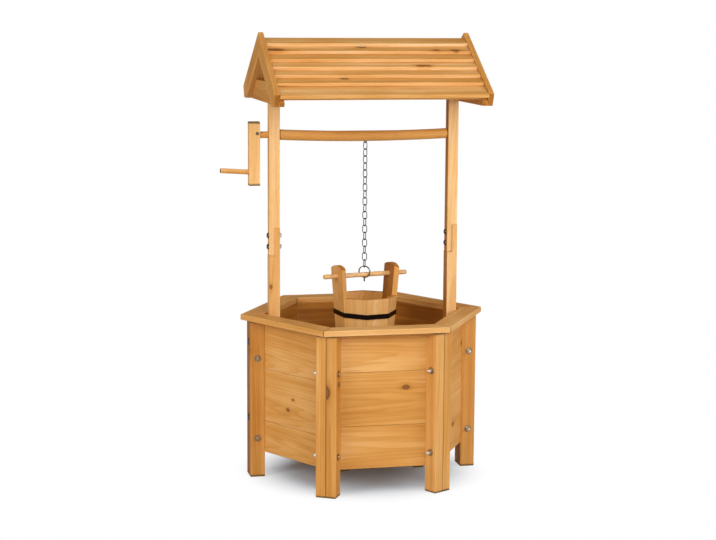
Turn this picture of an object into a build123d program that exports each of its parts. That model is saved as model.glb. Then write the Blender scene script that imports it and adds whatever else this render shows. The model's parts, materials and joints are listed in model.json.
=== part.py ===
from build123d import *
import os
from math import asin, cos, radians, sin, tan

# Wishing well planter: a hexagonal wooden planter with two uprights, a lapped-slat roof, and a
# winch that lifts a stave bucket on a chain. Millimetres, +Z up. The origin is on the ground, on
# the axis of the hexagon. The front side faces -Y and the crank is on the left, at -X.

# ---- Driving dimensions ----

# Legs: two half-posts side by side at each corner of the hexagon
leg_height = 408.0
leg_inner_r = 261.0  # from the axis to the legs' inner faces, along a corner's radius
leg_depth = 38.0
half_post_width = 26.0

# Sides: three boards each, the ends cut to the legs' inner faces
side_board_thickness = 13.0
side_bottom = 65.0
middle_board_width = 136.0
wide_bottom_board = 108.0  # the lowest board, on every other side
narrow_bottom_board = 82.0  # and on the sides between

# Rim boards, mitred at the corners and flush with the inside of the sides
rim_overhang = 21.0  # past the legs, along a corner's radius
rim_thickness = 14.0

# Floor boards across two bearers
bearer_x = 95.0
bearer_width = 28.0
bearer_bottom = 57.0
bearer_height = 28.0
floor_thickness = 12.0
floor_board_count = 5
floor_board_gap = 3.0
floor_clearance = 1.0  # from the floor's outline to the sides

# Bolts, washers and nuts
bolt_r = 3.0
bolt_clearance = 0.2  # radial, in timber and washers
thread_clearance = 0.05  # radial, in nuts
bolt_tail = 1.5  # what stands out of a nut
bolt_end_gap = 1.0  # from a bolt's end to the foot of a cap nut's bore
washer_r = 8.5
washer_thickness = 1.2
nut_across_flats = 10.0
nut_height = 5.0
cap_nut_hex_height = 5.5  # the leg bolts' nuts, closed by a dome
cap_nut_dome_r = 4.7
cap_nut_height = 12.0
cap_nut_bore = 8.5
dome_head_r = 6.2
dome_head_height = 3.4
cap_head_r = 8.8  # the corner bolts' flat cap heads
cap_head_height = 2.5
leg_bolt_inset = 19.0  # from the legs' inner faces to the leg bolts
low_leg_bolt = 102.0
high_leg_bolt = 310.5
low_corner_bolt = 152.5
high_corner_bolt = 350.0

# Uprights: a lower post inside the left and right corners, lapped to an upper post
upright_setback = 14.0  # from the legs' inner faces
upright_width = 27.0
lower_post_depth = 34.0
upper_post_depth = 27.0
splice_bottom = 572.0
splice_length = 72.0
low_splice_bolt = 22.5  # above the bottom of the splice
high_splice_bolt = 51.0
sunk_grip = 20.0  # what the right upright's splice bolts hold, their nuts being let in
pocket_r = 9.0  # of the bores round the sunk nuts
upright_top = 1014.0

# Gables: a tie board and two rafters in one layer, two barge boards in the next
gable_board_thickness = 13.0
tie_height = 52.0
roof_slope = 31.07  # degrees
ridge_rise = 97.0  # from the top of the uprights to the line of the rafters at the ridge
rafter_width = 28.0
barge_above_rafter = 22.0
eave_end_height = 10.2  # of the tie boards' end cuts, up to the line of the rafters
eave_end_lean = 21.3  # degrees from upright, of the gable boards' end cuts

# Roof slats, counted from the ridge; each one laps the one below it
slat_count = 7
slat_thickness = 9.0
slat_width = 50.0
slat_pitch = 35.5
ridge_slat_butt = 40.0  # down the slope from the ridge to the first slat's lower end
eave_slat_width = 67.5
slat_end_gap = 0.5  # to the barge boards
ridge_gap = 0.4  # between the two ridge slats
fillet_start = 232.0  # down the slope, the wedge strips that carry the eave slats
fillet_width = 26.0

# Winch
pole_z = 879.5
pole_left_r = 13.4
pole_right_r = 12.9
pole_sag = 5.3  # the pole's bow, at its middle
shoulder_gap = 1.0  # from the pole's shoulders to the uprights
shoulder_ease = 2.0
tenon_r = 8.5
tenon_clearance = 0.05  # radial, in the uprights and in the crank arm
crank_gap = 23.0  # from the left upright to the crank arm
crank_thickness = 28.0
crank_depth = 24.0
crank_above = 33.5  # from the pole's axis to the arm's top end
crank_below = 128.0
crank_throw = 93.7  # from the pole's axis to the handle's, at the arm's outer face
crank_bore_depth = 20.0
handle_r = 6.3
handle_length = 72.3  # outside the arm
handle_tilt = 3.6  # degrees, its free end up
screw_r = 1.75
screw_length = 20.0
screw_head_r = 4.0
screw_head_height = 2.0
screw_from_inside = 7.5  # from the arm's inner face
screw_above_axis = 4.0

# Chain: a staple in the pole, then links alternately turned by a quarter
chain_x = 4.0
link_count = 18
upper_link_count = 14
link_wire_r = 1.1
link_pitch = 17.9
link_width = 14.0
link_clearance = 0.15
link_turn = -58.0  # degrees about the vertical, of the first link
link_twist = 1.53  # degrees that each link adds to the quarter turn
staple_wire_r = 1.2
staple_half_width = 4.5
staple_bite = 8.0  # how deep its legs stand in the pole
pole_to_link = 0.5

# Ring and its stem, hung from the last link; the bucket's dowel rests in it
ring_r = 14.35  # to the centre of the wire
ring_wire_r = 1.15
ring_turn = 58.0  # degrees about the vertical, of the ring's axis
ring_to_dowel = 0.3
stem_r = 2.0
stem_length = 10.0

# Bucket: eight tapered staves, two of them carried up as ears
bucket_turn = 13.0  # degrees about the vertical, of the dowel
bucket_shift = 2.5  # along the dowel, from under the ring
dowel_r = 6.0
dowel_half_length = 118.0
dowel_clearance = 0.05
stave_count = 8
stave_thickness = 13.0
rim_below_dowel = 54.5
bucket_height = 146.0
rim_half_width = 76.7  # across the flats of the octagon, outside
foot_half_width = 66.0
ear_above_dowel = 28.0
ear_crown_r = 62.0
bottom_thickness = 10.0
bottom_lift = 8.0  # from the staves' feet to the bottom
bottom_clearance = 0.1
hoop_width = 12.5
hoop_thickness = 2.0
hoop_clearance = 0.05
lower_hoop_lift = 14.0  # from the staves' feet to the hoops
upper_hoop_lift = 98.5
upper_hoop_tilt = 2.7  # degrees, its front lower

# Eased edges
board_ease = 1.2
slat_ease = 0.7
stave_ease = 0.6
rod_ease = 1.5

# ---- Places that follow from the driving dimensions ----

corners = {"right": 0, "back_right": 60, "back_left": 120, "left": 180, "front_left": 240, "front_right": 300}
sides = {"back_right": 30, "back": 90, "back_left": 150, "front_left": 210, "front": 270, "front_right": 330}
half_turn = 30.0  # degrees between a side's middle and its corners

leg_outer_r = leg_inner_r + leg_depth
leg_bolt_radius = leg_inner_r + leg_bolt_inset
rim_outer_r = leg_outer_r + rim_overhang
side_outer = leg_inner_r * cos(radians(half_turn)) + half_post_width * sin(radians(half_turn))
side_inner = side_outer - side_board_thickness
floor_bottom = bearer_bottom + bearer_height
floor_top = floor_bottom + floor_thickness
upright_outer_x = leg_inner_r - upright_setback
upright_inner_x = upright_outer_x - upright_width
barge_inner_x = upright_outer_x + gable_board_thickness
barge_outer_x = barge_inner_x + gable_board_thickness
splice_top = splice_bottom + splice_length
tie_bottom = upright_top - tie_height
ridge_z = upright_top + ridge_rise

crank_inner_x = upright_outer_x + crank_gap
crank_outer_x = crank_inner_x + crank_thickness


def pole_r(x):
    """Radius of the tapered pole at a place between its shoulders."""
    share = (x + upright_inner_x) / (2 * upright_inner_x)
    return pole_left_r + (pole_right_r - pole_left_r) * share


def pole_bow(x):
    """How far the bowed pole's centre is below its axis, at a place between its shoulders."""
    return pole_sag * (1 - (x / upright_inner_x) ** 2)


link_length = link_pitch + 4 * link_wire_r + link_clearance
pole_underside = pole_z - pole_bow(chain_x) - pole_r(chain_x)
first_link_top = pole_underside - pole_to_link
staple_crown_z = first_link_top - 2 * link_wire_r - link_clearance - staple_wire_r
chain_foot = first_link_top - (link_count - 1) * link_pitch - link_length + link_wire_r
ring_z = chain_foot + link_wire_r + link_clearance + ring_wire_r - ring_r
dowel_z = ring_z - ring_r + ring_wire_r + ring_to_dowel + dowel_r
bucket_rim = dowel_z - rim_below_dowel
bucket_foot = bucket_rim - bucket_height


# ---- Shapes that many pieces share ----


def prism(outline, low, high):
    """A flat outline in X and Y, raised from one height to another."""
    return Pos(0, 0, low) * extrude(make_face(Polyline(*outline, close=True)), high - low)


def gable_prism(outline, x_low, x_high):
    """A flat outline in Y and Z, thick along X."""
    face = Plane.YZ * make_face(Polyline(*outline, close=True))
    return Pos(x_low, 0, 0) * extrude(face, x_high - x_low)


def block(x, y, z):
    """A box from three (low, high) pairs."""
    box = Box(x[1] - x[0], y[1] - y[0], z[1] - z[0])
    return Pos((x[0] + x[1]) / 2, (y[0] + y[1]) / 2, (z[0] + z[1]) / 2) * box


def rod(start, direction, length, radius):
    """A round bar from a point, along a direction."""
    bar = Cylinder(radius, length, align=(Align.CENTER, Align.CENTER, Align.MIN))
    return Plane(origin=start, z_dir=direction).location * bar


def eased(solid, size=board_ease):
    """The solid with every edge chamfered."""
    return chamfer(solid.edges(), size)


def place(radial, tangential, angle, z=0.0):
    """A point given along a corner's or side's radius, across it, and up."""
    a = radians(angle)
    return (radial * cos(a) - tangential * sin(a), radial * sin(a) + tangential * cos(a), z)


def mirrored(pair, side):
    """The same stretch of X, to the left (side -1) or right (side +1), lowest first."""
    return tuple(sorted((side * pair[0], side * pair[1])))


def half_torus(radius, wire_r):
    """Half a ring of round wire in the X-Z plane, hanging below its centre."""
    ring = revolve(Plane.XZ * Pos(radius, 0) * Circle(wire_r), Axis.Z, 180)
    return Rot(-90, 0, 0) * ring


# ---- Fasteners ----


def bolt(grip, head_r, head_height, seat, beyond, point, direction):
    """A bolt whose head sits at seat before the timber's face and whose end is beyond its far face."""
    head = Pos(0, 0, -seat) * Cylinder(head_r, head_height, align=(Align.CENTER, Align.CENTER, Align.MAX))
    dome = fillet(head.edges().sort_by(Axis.Z)[0], 0.75 * min(head_height, head_r))
    shank_length = seat + grip + beyond
    shank = Pos(0, 0, -seat) * Cylinder(bolt_r, shank_length, align=(Align.CENTER, Align.CENTER, Align.MIN))
    return Plane(origin=point, z_dir=direction).location * (dome + shank)


def washer(point, direction):
    """A flat washer before a face of the timber."""
    disc = Cylinder(washer_r, washer_thickness, align=(Align.CENTER, Align.CENTER, Align.MAX))
    hole = Cylinder(bolt_r + bolt_clearance, 4 * washer_thickness)
    return Plane(origin=point, z_dir=direction).location * (disc - hole)


def nut(grip, point, direction):
    """A hexagon nut on the far face of the timber."""
    outline = RegularPolygon(nut_across_flats / 2, 6, major_radius=False)
    body = Pos(0, 0, grip) * extrude(outline, nut_height)
    hole = Cylinder(bolt_r + thread_clearance, 4 * (grip + nut_height))
    return Plane(origin=point, z_dir=direction).location * (body - hole)


def cap_nut(grip, point, direction):
    """A domed nut that closes over the bolt's end, on a washer on the far face of the timber."""
    outline = RegularPolygon(nut_across_flats / 2, 6, major_radius=False)
    body = extrude(outline, cap_nut_hex_height)
    dome_base = cap_nut_height - cap_nut_dome_r
    body += Cylinder(cap_nut_dome_r, dome_base, align=(Align.CENTER, Align.CENTER, Align.MIN))
    body += Pos(0, 0, dome_base) * Sphere(cap_nut_dome_r)
    bore = Cylinder(bolt_r + thread_clearance, cap_nut_bore, align=(Align.CENTER, Align.CENTER, Align.MIN))
    seat = Pos(0, 0, grip + washer_thickness)
    return Plane(origin=point, z_dir=direction).location * seat * (body - bore)


def bolt_hole(point, direction, grip):
    """The clearance hole of a bolt, through the timber and past both faces."""
    return rod(point, direction, grip, bolt_r + bolt_clearance)


# Each bolt is a point on the face under its head, a direction and the timber that it grips.
leg_grip = 2 * half_post_width
leg_bolt_seats = {
    corner: [
        (place(leg_bolt_radius, half_post_width, angle, z), place(0, -1, angle), leg_grip)
        for z in (low_leg_bolt, high_leg_bolt)
    ]
    for corner, angle in corners.items()
}
corner_grip = leg_outer_r - upright_inner_x
corner_bolt_seats = {
    corner: [
        (place(leg_outer_r, 0, corners[corner], z), place(-1, 0, corners[corner]), corner_grip)
        for z in (low_corner_bolt, high_corner_bolt)
    ]
    for corner in ("left", "right")
}
splice_grips = {-1: upright_width, 1: sunk_grip}
splice_bolt_seats = {
    side: [
        ((mirrored((upright_inner_x, upright_outer_x), side)[0], 0, splice_bottom + z), (1, 0, 0), grip)
        for z in (low_splice_bolt, high_splice_bolt)
    ]
    for side, grip in splice_grips.items()
}


def drilled(solid, seats):
    """The solid with the clearance holes of these bolts."""
    for point, direction, grip in seats:
        solid = solid - bolt_hole(point, direction, grip)
    return solid


def further(point, direction, distance):
    """The point at a distance from another, along a direction."""
    return tuple(Vector(point) + Vector(direction) * distance)


def with_pockets(solid, seats):
    """The solid with a bore behind each bolt's grip, for its nut."""
    for point, direction, grip in seats:
        solid = solid - rod(further(point, direction, grip), direction, upright_width, pocket_r)
    return solid


# ---- Planter ----


def half_post(corner, side):
    """One of a corner's two leg timbers; side -1 is the clockwise one."""
    across = tuple(sorted((0, side * half_post_width)))
    post = eased(block((leg_inner_r, leg_outer_r), across, (0, leg_height)))
    post = Rot(0, 0, corners[corner]) * post
    return drilled(post, leg_bolt_seats[corner] + corner_bolt_seats.get(corner, []))


def side_boards(side, bottom_width):
    """The three boards of one side, cut to the inner faces of the legs at both ends."""
    slant = radians(half_turn)
    outer_reach = (leg_inner_r - side_outer * cos(slant)) / sin(slant)
    inner_reach = min((leg_inner_r - side_inner * cos(slant)) / sin(slant), side_inner * tan(slant))
    outline = [
        (side_outer, -outer_reach),
        (side_outer, outer_reach),
        (side_inner, inner_reach),
        (side_inner, -inner_reach),
    ]
    seams = [side_bottom, side_bottom + bottom_width]
    seams += [seams[1] + middle_board_width, leg_height]
    boards = [eased(prism(outline, low, high)) for low, high in zip(seams, seams[1:])]
    passing = [seat for corner, seats in corner_bolt_seats.items() if corner in side for seat in seats]
    return [drilled(Rot(0, 0, sides[side]) * board, passing) for board in boards]


def rim_board(side):
    """One board of the rim, with mitred ends."""
    corner_points = [
        place(leg_inner_r, 0, -half_turn),
        place(rim_outer_r, 0, -half_turn),
        place(rim_outer_r, 0, half_turn),
        place(leg_inner_r, 0, half_turn),
    ]
    outline = [point[:2] for point in corner_points]
    board = eased(prism(outline, leg_height, leg_height + rim_thickness))
    return Rot(0, 0, sides[side]) * board


def bearer(side):
    """One of the two bars under the floor, from the front side to the back side."""
    across = (side * bearer_x - bearer_width / 2, side * bearer_x + bearer_width / 2)
    return eased(block(across, (-side_inner, side_inner), (bearer_bottom, floor_bottom)))


def floor_boards():
    """Boards across the bearers, cut to the hexagon inside the sides."""
    apothem = side_inner - floor_clearance
    hexagon = [place(apothem / cos(radians(half_turn)), 0, angle)[:2] for angle in corners.values()]
    cutter = prism(hexagon, floor_bottom, floor_top)
    width = (2 * apothem - (floor_board_count - 1) * floor_board_gap) / floor_board_count
    boards = []
    for i in range(floor_board_count):
        low = -apothem + i * (width + floor_board_gap)
        board = block((-leg_outer_r, leg_outer_r), (low, low + width), (floor_bottom, floor_top))
        boards.append(board & cutter)
    return boards


# ---- Uprights ----


def post_stretch(side):
    """The stretch of X of the left (side -1) or right (side +1) upright."""
    return mirrored((upright_inner_x, upright_outer_x), side)


def lower_upright(side):
    """The post inside the planter, its tongue on the half towards +X.

    The nuts of the right one are let into that tongue.
    """
    x = post_stretch(side)
    depth = (-lower_post_depth / 2, lower_post_depth / 2)
    post = eased(block(x, depth, (floor_top, splice_top)))
    notch_side = (x[0] - upright_width, x[0] + upright_width / 2)
    notch_height = (splice_bottom, splice_top + splice_length)
    notch = block(notch_side, (-lower_post_depth, lower_post_depth), notch_height)
    corner = "left" if side < 0 else "right"
    post = drilled(post - notch, corner_bolt_seats[corner] + splice_bolt_seats[side])
    return with_pockets(post, splice_bolt_seats[side]) if side > 0 else post


def upper_upright(side):
    """The post that carries the roof, its tongue on the half towards -X."""
    x = post_stretch(side)
    depth = (-upper_post_depth / 2, upper_post_depth / 2)
    post = eased(block(x, depth, (splice_bottom, upright_top)))
    notch_side = (x[0] + upright_width / 2, x[1] + upright_width)
    notch_height = (splice_bottom - splice_length, splice_top)
    notch = block(notch_side, (-upper_post_depth, upper_post_depth), notch_height)
    bore = rod((x[0], 0, pole_z), (1, 0, 0), upright_width, tenon_r + tenon_clearance)
    return drilled(post - notch, splice_bolt_seats[side]) - bore


# ---- Roof ----
# On a slope, s runs down from the ridge along the line of the rafters and n stands out of it.


def roof_point(s, n, way):
    """A point in Y and Z on the front (way -1) or back (way +1) slope."""
    a = radians(roof_slope)
    return (way * (s * cos(a) + n * sin(a)), ridge_z - s * sin(a) + n * cos(a))


def slope_line_y(n, z):
    """How far from the ridge, along Y, the line at height n over the rafters comes to a height z."""
    a = radians(roof_slope)
    return (ridge_z + n / cos(a) - z) / tan(a)


end_lean = tan(radians(eave_end_lean))
eave_reach = slope_line_y(0, tie_bottom + eave_end_height) - eave_end_height * end_lean


def eave_cut(n):
    """Where the line at height n over the rafters meets the leaning end cut, as Y and Z."""
    a = radians(roof_slope)
    z = (ridge_z + n / cos(a) - (eave_reach - end_lean * tie_bottom) * tan(a)) / (1 + end_lean * tan(a))
    return (eave_reach + end_lean * (z - tie_bottom), z)


def tie_board(side):
    """The board across the top of an upright, its ends cut to the slope."""
    half = [(eave_reach, tie_bottom), eave_cut(0), (slope_line_y(0, upright_top), upright_top)]
    outline = half + [(-y, z) for y, z in reversed(half)]
    return eased(gable_prism(outline, *mirrored((upright_outer_x, barge_inner_x), side)))


def rafter(side, way):
    """The sloping board between the tie board and the ridge."""
    outline = [
        (0, slope_height(-rafter_width)),
        (way * slope_line_y(-rafter_width, upright_top), upright_top),
        (way * slope_line_y(0, upright_top), upright_top),
        (0, ridge_z),
    ]
    return eased(gable_prism(outline, *mirrored((upright_outer_x, barge_inner_x), side)))


def slope_height(n):
    """The height at the ridge of the line at height n over the rafters."""
    return ridge_z + n / cos(radians(roof_slope))


def barge_board(side, way):
    """The outer gable board, from the ridge down past the tie board."""
    top_end = eave_cut(barge_above_rafter)
    outline = [
        (0, slope_height(-rafter_width)),
        (way * slope_line_y(-rafter_width, tie_bottom), tie_bottom),
        (way * eave_reach, tie_bottom),
        (way * top_end[0], top_end[1]),
        (0, slope_height(barge_above_rafter)),
    ]
    return eased(gable_prism(outline, *mirrored((barge_inner_x, barge_outer_x), side)))


slat_tilt = asin(slat_thickness / slat_pitch)
slat_lift = slat_width * sin(slat_tilt)
eave_tilt = asin(slat_lift / eave_slat_width)
first_slat_start = ridge_slat_butt - slat_width * cos(slat_tilt)
eave_slat_start = first_slat_start + (slat_count - 1) * slat_pitch
slat_reach = barge_inner_x - slat_end_gap


def slat(i, way):
    """Slat i from the ridge: its upper edge is on the rafters, its lower end on the next slat."""
    last = i == slat_count - 1
    start = first_slat_start + i * slat_pitch
    tilt, width = (eave_tilt, eave_slat_width) if last else (slat_tilt, slat_width)
    along = (width * cos(tilt), width * sin(tilt))
    up = (-slat_thickness * sin(tilt), slat_thickness * cos(tilt))
    outline = [
        roof_point(start, 0, way),
        roof_point(start + along[0], along[1], way),
        roof_point(start + along[0] + up[0], along[1] + up[1], way),
        roof_point(start + up[0], up[1], way),
    ]
    board = eased(gable_prism(outline, -slat_reach, slat_reach), slat_ease)
    if i > 0:
        return board
    past_ridge = tuple(sorted((way * ridge_gap / 2, -way * 2 * slat_width)))
    trim = block((-barge_outer_x, barge_outer_x), past_ridge, (upright_top, ridge_z + 2 * slat_width))
    return board - trim


def eave_fillet(way):
    """The wedge strip between the gables' ends and the underside of the eave slat."""

    def lift(s):
        return (s - eave_slat_start) * tan(eave_tilt)

    low, high = fillet_start, fillet_start + fillet_width
    outline = [
        roof_point(low, 0, way),
        roof_point(high, 0, way),
        roof_point(high, lift(high), way),
        roof_point(low, lift(low), way),
    ]
    return gable_prism(outline, -slat_reach, slat_reach)


# ---- Winch ----


def crank_screw():
    """The pan-head screw that pins the crank arm to the pole's tenon."""
    start = (-crank_inner_x - screw_from_inside, -crank_depth / 2, pole_z + screw_above_axis)
    shank = rod(start, (0, 1, 0), screw_length, screw_r)
    head = rod(start, (0, -1, 0), screw_head_height, screw_head_r)
    dome = fillet(head.edges().sort_by(Axis.Y)[0], 0.6 * screw_head_height)
    return dome + shank


def screw_hole():
    """The hole that the crank screw cuts, through arm and tenon."""
    start = (-crank_inner_x - screw_from_inside, -crank_depth / 2, pole_z + screw_above_axis)
    return rod(start, (0, 1, 0), screw_length, screw_r + thread_clearance)


def chain_staple(wire_r):
    """The staple that holds the first link: a half ring with two legs up into the pole."""
    crown_centre = staple_crown_z + staple_half_width
    leg_top = pole_underside + staple_bite
    legs = [
        rod((x, 0, crown_centre), (0, 0, 1), leg_top - crown_centre, wire_r)
        for x in (-staple_half_width, staple_half_width)
    ]
    crown = Pos(0, 0, crown_centre) * half_torus(staple_half_width, wire_r)
    return Pos(chain_x, 0, 0) * Rot(0, 0, link_turn + 90) * (crown + legs[0] + legs[1])


def winch_pole():
    """The turned pole: a tapered, bowed body between the uprights and a straight tenon at each end."""
    half = upright_inner_x - shoulder_gap
    stations = [half * share for share in (-1, -0.5, 0, 0.5, 1)]
    rounds = [Pos(x, 0, -pole_bow(x)) * Rot(0, 90, 0) * Circle(pole_r(x)) for x in stations]
    body = eased(loft(rounds), shoulder_ease)
    left_end = -crank_inner_x - crank_bore_depth
    right_end = upright_outer_x - shoulder_gap
    tenon = rod((left_end, 0, 0), (1, 0, 0), right_end - left_end, tenon_r)
    pole = Pos(0, 0, pole_z) * (body + tenon)
    return pole - chain_staple(staple_wire_r + thread_clearance) - screw_hole()


def handle_rod(radius):
    """A tilted round bar from the foot of the arm's lower bore to the handle's free end."""
    tilt = radians(handle_tilt)
    foot_z = pole_z - crank_throw - crank_bore_depth * tan(tilt)
    length = (crank_bore_depth + handle_length) / cos(tilt)
    return rod((-crank_outer_x + crank_bore_depth, 0, foot_z), (-cos(tilt), 0, sin(tilt)), length, radius)


def crank_arm():
    """The upright block outside the left upright, bored for the tenon and for the handle."""
    arm = eased(
        block(
            (-crank_outer_x, -crank_inner_x),
            (-crank_depth / 2, crank_depth / 2),
            (pole_z - crank_below, pole_z + crank_above),
        )
    )
    tenon_bore = rod((-crank_inner_x, 0, pole_z), (-1, 0, 0), crank_bore_depth, tenon_r + tenon_clearance)
    handle_bore = handle_rod(handle_r + tenon_clearance)
    return arm - tenon_bore - handle_bore - screw_hole()


def crank_handle():
    """The dowel that the hand turns, standing in the arm's lower bore."""
    return chamfer(handle_rod(handle_r).edges().sort_by(Axis.X)[0], rod_ease)


# ---- Chain and ring ----


def link(i):
    """Link i from the pole: two half rings joined by straight sides."""
    bend_r = link_width / 2 - link_wire_r
    straight = link_length - link_width
    bend = half_torus(bend_r, link_wire_r)
    body = Pos(0, 0, -straight / 2) * bend
    body += Pos(0, 0, straight / 2) * Rot(180, 0, 0) * bend
    for x in (-bend_r, bend_r):
        body += Pos(x, 0, 0) * Cylinder(link_wire_r, straight)
    z = first_link_top - link_length / 2 - i * link_pitch
    return Pos(chain_x, 0, z) * Rot(0, 0, link_turn + i * (90 + link_twist)) * body


def bucket_ring():
    """The ring round the dowel, askew to it, with a short stem at its lowest point."""
    ring = Pos(chain_x, 0, ring_z) * Rot(0, 0, ring_turn) * Rot(0, 90, 0) * Torus(ring_r, ring_wire_r)
    stem = rod((chain_x, 0, ring_z - ring_r), (0, 0, -1), stem_length, stem_r)
    return ring + stem


# ---- Bucket ----
# Its pieces are made with the dowel along X, then turned about the vertical.

stave_angle = 360.0 / stave_count


def hung(solid):
    """A piece of the bucket, from its own frame to its place under the chain."""
    return Pos(chain_x, 0, 0) * Rot(0, 0, bucket_turn) * Pos(bucket_shift, 0, 0) * solid


def half_width(z):
    """From the bucket's axis to the outside of a stave, at a height."""
    taper = (rim_half_width - foot_half_width) / bucket_height
    return rim_half_width + taper * (z - bucket_rim)


def stave(i, top):
    """One stave: flat, tapered, with radial edges that meet its neighbours."""

    def section(z):
        outer = half_width(z)
        inner = outer - stave_thickness
        spread = tan(radians(stave_angle / 2))
        outline = [
            (outer, -outer * spread),
            (outer, outer * spread),
            (inner, inner * spread),
            (inner, -inner * spread),
        ]
        return Pos(0, 0, z) * make_face(Polyline(*outline, close=True))

    solid = loft([section(bucket_foot), section(top)], ruled=True)
    return Rot(0, 0, i * stave_angle) * eased(solid, stave_ease)


def ear(i):
    """A stave carried up past the rim, with a crowned top and a hole for the dowel."""
    top = dowel_z + ear_above_dowel
    reach = 2 * rim_half_width
    above = block((-reach, reach), (-reach, reach), (top - ear_crown_r, top + ear_crown_r))
    crown = rod((-2 * reach, 0, top - ear_crown_r), (1, 0, 0), 4 * reach, ear_crown_r)
    hole = rod((-reach, 0, dowel_z), (1, 0, 0), 2 * reach, dowel_r + dowel_clearance)
    return hung(stave(i, top) - (above - crown) - hole)


def octagon_band(low, high, offset):
    """A tapered octagonal block that keeps its distance from the outside of the staves."""

    def section(z):
        radius = (half_width(z) + offset) / cos(radians(stave_angle / 2))
        outline = [place(radius, 0, (i + 0.5) * stave_angle)[:2] for i in range(stave_count)]
        return Pos(0, 0, z) * make_face(Polyline(*outline, close=True))

    return loft([section(low), section(high)], ruled=True)


def hoop(lift, tilt=0.0):
    """A flat iron band round the staves, its front lower by a tilt."""
    low = bucket_foot + lift
    outside = octagon_band(low - hoop_width, low + 2 * hoop_width, hoop_clearance + hoop_thickness)
    inside = octagon_band(low - 2 * hoop_width, low + 3 * hoop_width, hoop_clearance)
    slice_width = 4 * rim_half_width
    level = Pos(0, 0, low + hoop_width / 2) * Rot(tilt, 0, 0) * Box(slice_width, slice_width, hoop_width)
    return hung((outside - inside) & level)


def bucket_bottom():
    """The board inside the staves, near their feet."""
    low = bucket_foot + bottom_lift
    return hung(octagon_band(low, low + bottom_thickness, -stave_thickness - bottom_clearance))


def dowel():
    """The round bar through both ears, by which the bucket hangs."""
    bar = rod((-dowel_half_length, 0, dowel_z), (1, 0, 0), 2 * dowel_half_length, dowel_r)
    return hung(chamfer(bar.edges().group_by(Axis.X)[0] + bar.edges().group_by(Axis.X)[-1], rod_ease))


# ---- Nodes ----

os.makedirs("parts", exist_ok=True)


def save(node, *pieces):
    """One file for each node, with each of its pieces as a solid of its own."""
    solids = [piece.solid() for piece in pieces]
    shape = solids[0] if len(solids) == 1 else Compound(children=solids)
    export_step(shape, f"parts/{node}.step")


for corner_name in corners:
    save(f"leg_{corner_name}", half_post(corner_name, -1), half_post(corner_name, 1))

for index, side_name in enumerate(sides):
    bottom_width = narrow_bottom_board if index % 2 else wide_bottom_board
    save(f"side_{side_name}", *side_boards(side_name, bottom_width))
    save(f"rim_{side_name}", rim_board(side_name))

save("bearer_left", bearer(-1))
save("bearer_right", bearer(1))
save("floor_boards", *floor_boards())

leg_seats = [seat for seats in leg_bolt_seats.values() for seat in seats]
corner_seats = [seat for seats in corner_bolt_seats.values() for seat in seats]
splice_seats = [seat for seats in splice_bolt_seats.values() for seat in seats]
nut_room = nut_height + bolt_tail
cap_nut_room = washer_thickness + cap_nut_bore - bolt_end_gap
dome_head = (dome_head_r, dome_head_height, washer_thickness)
cap_head = (cap_head_r, cap_head_height, 0)
save("leg_bolts", *[bolt(g, *dome_head, cap_nut_room, p, d) for p, d, g in leg_seats])
save("corner_bolts", *[bolt(g, *cap_head, nut_room, p, d) for p, d, g in corner_seats])
save("splice_bolts", *[bolt(g, *dome_head, nut_room, p, d) for p, d, g in splice_seats])
near_washers = [washer(p, d) for p, d, g in leg_seats + splice_seats]
far_washers = [washer(further(p, d, g + washer_thickness), d) for p, d, g in leg_seats]
save("washers", *near_washers, *far_washers)
plain_nuts = [nut(g, p, d) for p, d, g in corner_seats + splice_seats]
cap_nuts = [cap_nut(g, p, d) for p, d, g in leg_seats]
save("nuts", *plain_nuts, *cap_nuts)

for side_name, side_sign in (("left", -1), ("right", 1)):
    save(f"lower_upright_{side_name}", lower_upright(side_sign))
    save(f"upper_upright_{side_name}", upper_upright(side_sign))
    save(f"tie_board_{side_name}", tie_board(side_sign))
    for way_name, way_sign in (("front", -1), ("back", 1)):
        save(f"rafter_{way_name}_{side_name}", rafter(side_sign, way_sign))
        save(f"barge_board_{way_name}_{side_name}", barge_board(side_sign, way_sign))

for way_name, way_sign in (("front", -1), ("back", 1)):
    save(f"roof_slats_{way_name}", *[slat(i, way_sign) for i in range(slat_count)])
    save(f"eave_fillet_{way_name}", eave_fillet(way_sign))

save("winch_pole", winch_pole())
save("crank_arm", crank_arm())
save("crank_handle", crank_handle())
save("crank_screw", crank_screw())
save("chain_staple", chain_staple(staple_wire_r))

save("chain_upper", *[link(i) for i in range(upper_link_count)])
save("chain_lower", *[link(i) for i in range(upper_link_count, link_count)])
save("bucket_ring", bucket_ring())

ear_places = (0, stave_count // 2)
plain_places = [i for i in range(stave_count) if i not in ear_places]
save("bucket_staves", *[hung(stave(i, bucket_rim)) for i in plain_places])
save("bucket_ear_right", ear(ear_places[0]))
save("bucket_ear_left", ear(ear_places[1]))
save("bucket_bottom", bucket_bottom())
save("bucket_hoop_lower", hoop(lower_hoop_lift))
save("bucket_hoop_upper", hoop(upper_hoop_lift, upper_hoop_tilt))
save("bucket_dowel", dowel())
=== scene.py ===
import json
from math import cos, pi, radians, sin, tan

import bpy
import numpy as np
from mathutils import Matrix, Quaternion, Vector


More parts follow.
